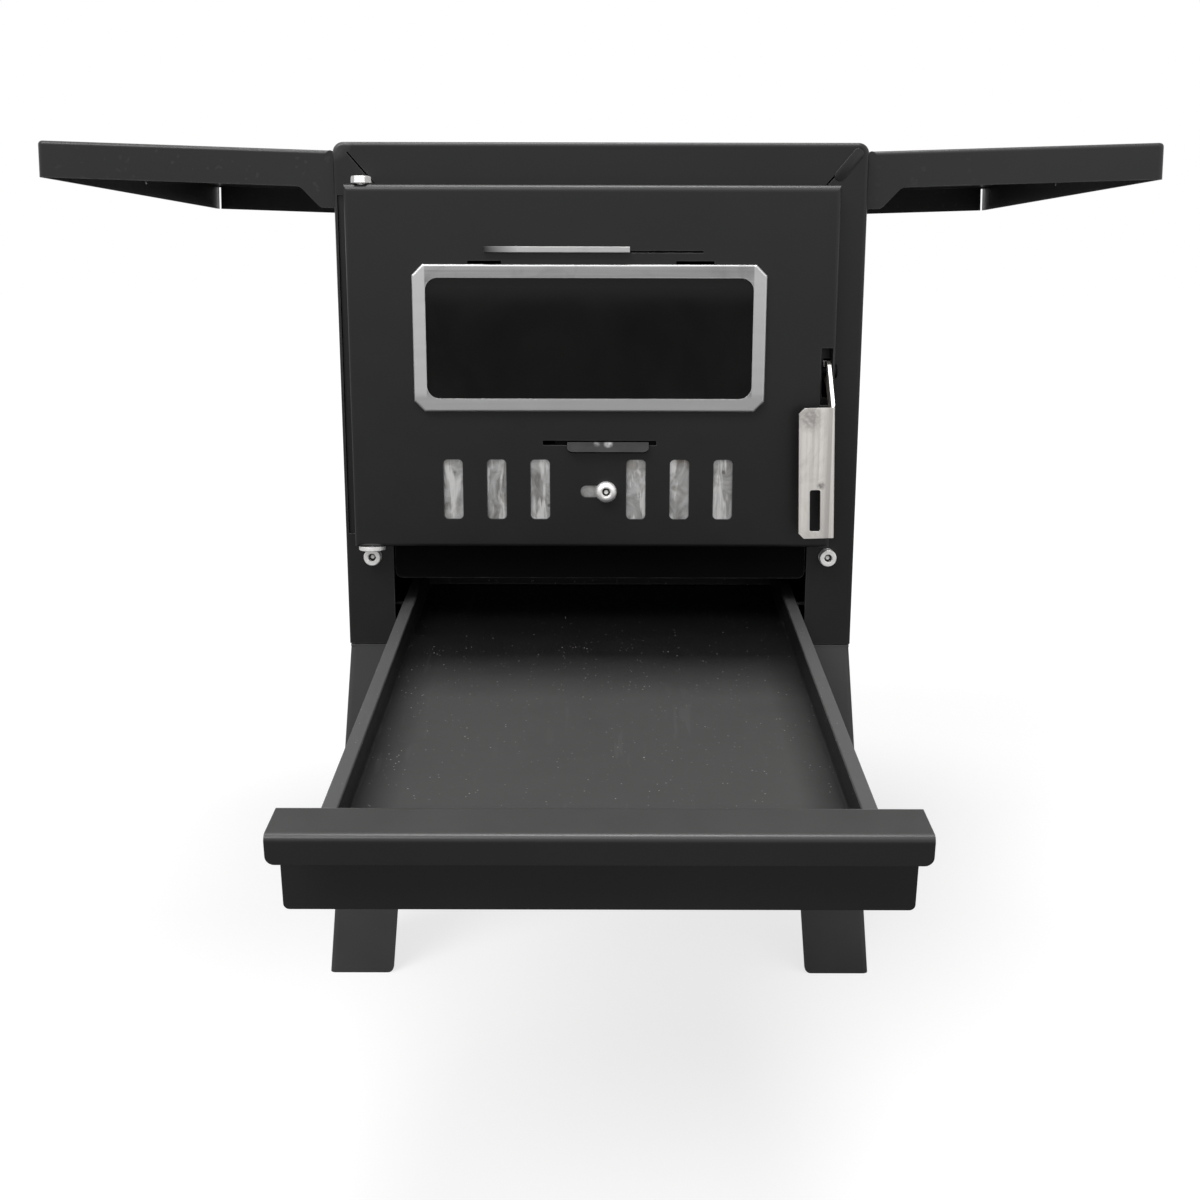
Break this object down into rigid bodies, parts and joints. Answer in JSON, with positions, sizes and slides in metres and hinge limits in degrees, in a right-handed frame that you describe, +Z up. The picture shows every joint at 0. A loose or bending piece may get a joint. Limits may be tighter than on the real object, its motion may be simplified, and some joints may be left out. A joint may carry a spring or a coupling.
{
  "type": "camping wood stove",
  "caption": "Box-shaped sheet-steel camping stove on splayed angle legs, with a windowed hinged door, sliding air vents, drop latch, fold-up side shelves and an open ash drawer.",
  "frame": {"origin": "floor level, at the centre of the bounding box's footprint, with the ash drawer pulled out", "axes": "+X to the right seen from the front, +Y from the front to the rear, so the door faces -Y, +Z up"},
  "size_m": [0.6366, 0.7476, 0.4951],
  "materials": {
    "body_paint": "satin black heat-resistant coating",
    "inner_paint": "matt black heat-resistant coating",
    "door_paint": "satin black heat-resistant coating",
    "tray_paint": "matt black coating, lightly scuffed",
    "drawer_paint": "satin black coating",
    "shelf_paint": "satin black coating",
    "leg_paint": "satin black coating",
    "cast_grate": "raw cast",
    "steel": "plain",
    "stainless_screw": "bright",
    "window_steel": "pressed and brushed",
    "tab_steel": "brushed",
    "latch_steel": "brushed, with handling marks",
    "latch_pin": "satin black",
    "galvanised": "galvanised, blotchy",
    "glass_pane": "dark ceramic glass, polished",
    "seal": "woven glass-fibre tape"
  },
  "bodies": {
    "stove": {"casing": "body_paint", "rear_panel": "body_paint", "bottom_plate": "body_paint", "rail_right": "body_paint", "rail_left": "body_paint", "drawer_stops": "body_paint", "firebox_floor": "inner_paint", "crossbar": "inner_paint", "cap_screws": "stainless_screw", "grate": "cast_grate", "baffle_plate": "inner_paint", "baffle_brackets": "inner_paint", "flue_collar": "body_paint", "hinge_ears": "body_paint", "hinge_plate": "body_paint", "hinge_bolt": "stainless_screw", "hinge_pin": "stainless_screw", "shelf_hinge_right": "body_paint", "shelf_hinge_left": "body_paint", "shelf_pin_right": "steel", "shelf_pin_left": "steel", "leg_front_right": "leg_paint", "leg_front_left": "leg_paint", "leg_rear_right": "leg_paint", "leg_rear_left": "leg_paint", "leg_screws": "steel", "leg_nuts": "steel"},
    "rod": {"support_rod": "steel"},
    "drawer": {"drawer_tray": "tray_paint", "drawer_front": "drawer_paint"},
    "door": {"door_panel": "door_paint", "window_frame": "window_steel", "glass_pane": "glass_pane", "glass_seal": "seal", "glass_retainer": "inner_paint", "slide_guides": "inner_paint", "latch_bracket": "inner_paint", "latch_pin": "latch_pin"},
    "air_slide": {"air_slider": "galvanised", "knob_screw": "stainless_screw", "knob_nut": "stainless_screw"},
    "airwash_low_slide": {"airwash_lower": "tab_steel"},
    "airwash_top_slide": {"airwash_upper": "tab_steel"},
    "latch": {"latch_handle": "latch_steel"},
    "right_shelf": {"shelf_right": "shelf_paint"},
    "left_shelf": {"shelf_left": "shelf_paint"}
  },
  "joints": [
    {"name": "drawer_tip", "type": "hinge", "parent": "stove", "child": "rod", "pos_m": [0, -0.04407, 0.2117], "axis": [-1, 0, 0], "range_deg": [0, 6.2]},
    {"name": "drawer_slide", "type": "slide", "parent": "rod", "child": "drawer", "axis": [0, 0.9942, 0.1074], "range_m": [0, 0.2932]},
    {"name": "door_swing", "type": "hinge", "parent": "stove", "child": "door", "pos_m": [-0.133, -0.06057, 0.369], "axis": [0, 0, -1], "range_deg": [0, 105]},
    {"name": "latch_lift", "type": "hinge", "parent": "door", "child": "latch", "pos_m": [0.1299, -0.06007, 0.3684], "axis": [-1, 0, 0], "range_deg": [0, 35]},
    {"name": "air_slider_slide", "type": "slide", "parent": "door", "child": "air_slide", "axis": [1, 0, 0], "range_m": [-0.0115, 0]},
    {"name": "airwash_lower_slide", "type": "slide", "parent": "door", "child": "airwash_low_slide", "axis": [1, 0, 0], "range_m": [-0.0139, 0.0044]},
    {"name": "airwash_upper_slide", "type": "slide", "parent": "door", "child": "airwash_top_slide", "axis": [1, 0, 0], "range_m": [0, 0.041]},
    {"name": "shelf_right_fold", "type": "hinge", "parent": "stove", "child": "right_shelf", "pos_m": [0.1526, 0.15543, 0.4877], "axis": [0, -1, 0], "range_deg": [0, 90]},
    {"name": "shelf_left_fold", "type": "hinge", "parent": "stove", "child": "left_shelf", "pos_m": [-0.1526, 0.15543, 0.4877], "axis": [0, 1, 0], "range_deg": [0, 90]}
  ],
  "couplings": [
    {"joint": "drawer_tip", "follows": "drawer_slide", "rad_per_m": 0.36692}
  ]
}
